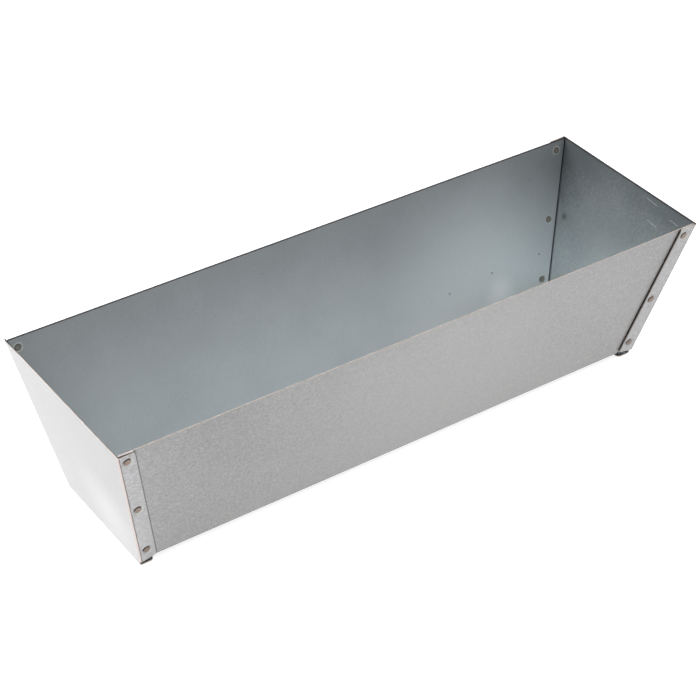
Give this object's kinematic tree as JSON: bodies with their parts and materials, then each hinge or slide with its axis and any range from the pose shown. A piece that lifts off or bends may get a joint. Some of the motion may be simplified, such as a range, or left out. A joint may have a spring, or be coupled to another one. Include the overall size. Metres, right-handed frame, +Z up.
{
  "type": "trough feeder",
  "caption": "Open rectangular feed trough of folded galvanised sheet with sloping sides, flanged end panels riveted over the walls, and turned-in bottom flanges as feet.",
  "frame": {"origin": "on the ground, under the middle of the trough", "axes": "+X along the trough, -Y towards the front wall, +Z up out of the open top"},
  "size_m": [0.4, 0.1246, 0.101],
  "materials": {
    "trough_body": "dull galvanised sheet, faintly mottled, raw sheared rims",
    "end_panel": "dull galvanised sheet, faintly mottled, raw sheared edges",
    "rivet": "flat set heads, dull brownish steel"
  },
  "bodies": {
    "root": {"end_panel_left": "end_panel", "end_panel_right": "end_panel", "rivet_back_left_bottom": "rivet", "rivet_back_left_middle": "rivet", "rivet_back_left_top": "rivet", "rivet_back_right_bottom": "rivet", "rivet_back_right_middle": "rivet", "rivet_back_right_top": "rivet", "rivet_front_left_bottom": "rivet", "rivet_front_left_middle": "rivet", "rivet_front_left_top": "rivet", "rivet_front_right_bottom": "rivet", "rivet_front_right_middle": "rivet", "rivet_front_right_top": "rivet", "trough_body": "trough_body"}
  },
  "joints": []
}
